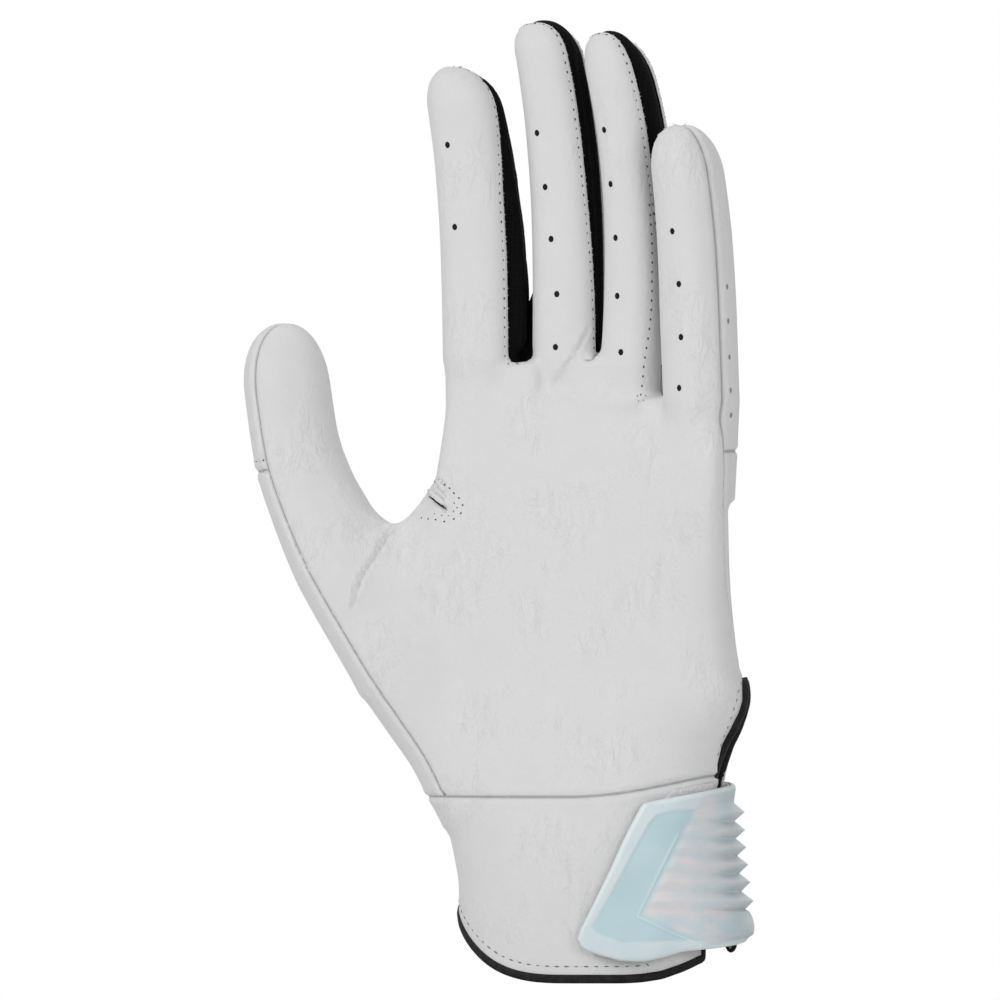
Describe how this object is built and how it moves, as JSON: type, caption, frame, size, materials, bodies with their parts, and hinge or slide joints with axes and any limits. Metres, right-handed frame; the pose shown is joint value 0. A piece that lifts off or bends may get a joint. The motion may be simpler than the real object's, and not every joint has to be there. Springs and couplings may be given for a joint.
{
  "type": "batting glove",
  "caption": "Left-hand batting glove, open as if worn, with leather palm, mesh finger gussets, hinged fingers and thumb, and a wrist strap that peels open.",
  "frame": {"origin": "centre of the wrist opening, level with the lowest point of the hem", "axes": "+Z towards the fingertips, -Y out of the palm, +X towards the little-finger side"},
  "size_m": [0.1271, 0.0525, 0.2316],
  "materials": {
    "leather_white": "fine grain, matte",
    "mesh_black": "stretch mesh",
    "binding_black": "folded tape",
    "tab_iridescent": "moulded, pale iridescent",
    "strap_fabric": "brushed loop",
    "hook_black": "fine hooks"
  },
  "bodies": {
    "root": {"palm_leather": "leather_white", "thumb_side_strip": "leather_white", "web_patch": "leather_white", "back_panel": "leather_white", "knuckle_band": "mesh_black", "knuckle_yoke": "leather_white", "cuff_palm": "leather_white", "cuff_back": "leather_white", "edge_binding": "binding_black", "loop_patch": "strap_fabric", "strap_anchor": "strap_fabric"},
    "strap": {"strap_base": "strap_fabric", "hook_patch": "hook_black", "strap_tab": "tab_iridescent"},
    "index": {"index_front": "leather_white", "index_back": "leather_white", "index_ulnar_fourchette": "mesh_black"},
    "middle": {"middle_front": "leather_white", "middle_back": "leather_white", "middle_radial_fourchette": "mesh_black", "middle_ulnar_fourchette": "mesh_black"},
    "ring": {"ring_front": "leather_white", "ring_back": "leather_white", "ring_radial_fourchette": "mesh_black", "ring_ulnar_fourchette": "mesh_black"},
    "little": {"little_front": "leather_white", "little_back": "leather_white", "little_radial_fourchette": "mesh_black"},
    "thumb": {"thumb_front": "leather_white", "thumb_tip_back": "leather_white", "thumb_back": "leather_white"}
  },
  "joints": [
    {"name": "strap_peel", "type": "hinge", "parent": "root", "child": "strap", "pos_m": [0.0117, 0.024, 0.009], "axis": [0, 0, 1], "range_deg": [0, 120]},
    {"name": "index_flex", "type": "hinge", "parent": "root", "child": "index", "pos_m": [-0.0282, -0.014, 0.14965], "axis": [1, 0, 0], "range_deg": [0, 70], "stiffness_Nm_per_rad": 0.05},
    {"name": "middle_flex", "type": "hinge", "parent": "root", "child": "middle", "pos_m": [-0.0076, -0.0099, 0.14965], "axis": [1, 0, 0], "range_deg": [0, 70], "stiffness_Nm_per_rad": 0.05},
    {"name": "ring_flex", "type": "hinge", "parent": "root", "child": "ring", "pos_m": [0.0105, -0.0102, 0.14815], "axis": [1, 0, 0], "range_deg": [0, 70], "stiffness_Nm_per_rad": 0.05},
    {"name": "little_flex", "type": "hinge", "parent": "root", "child": "little", "pos_m": [0.0318, -0.0204, 0.13965], "axis": [1, 0, 0], "range_deg": [0, 70], "stiffness_Nm_per_rad": 0.05},
    {"name": "thumb_flex", "type": "hinge", "parent": "root", "child": "thumb", "pos_m": [-0.06491, -0.02163, 0.10137], "axis": [0.8801, 0, 0.4748], "range_deg": [0, 45], "stiffness_Nm_per_rad": 0.05}
  ]
}
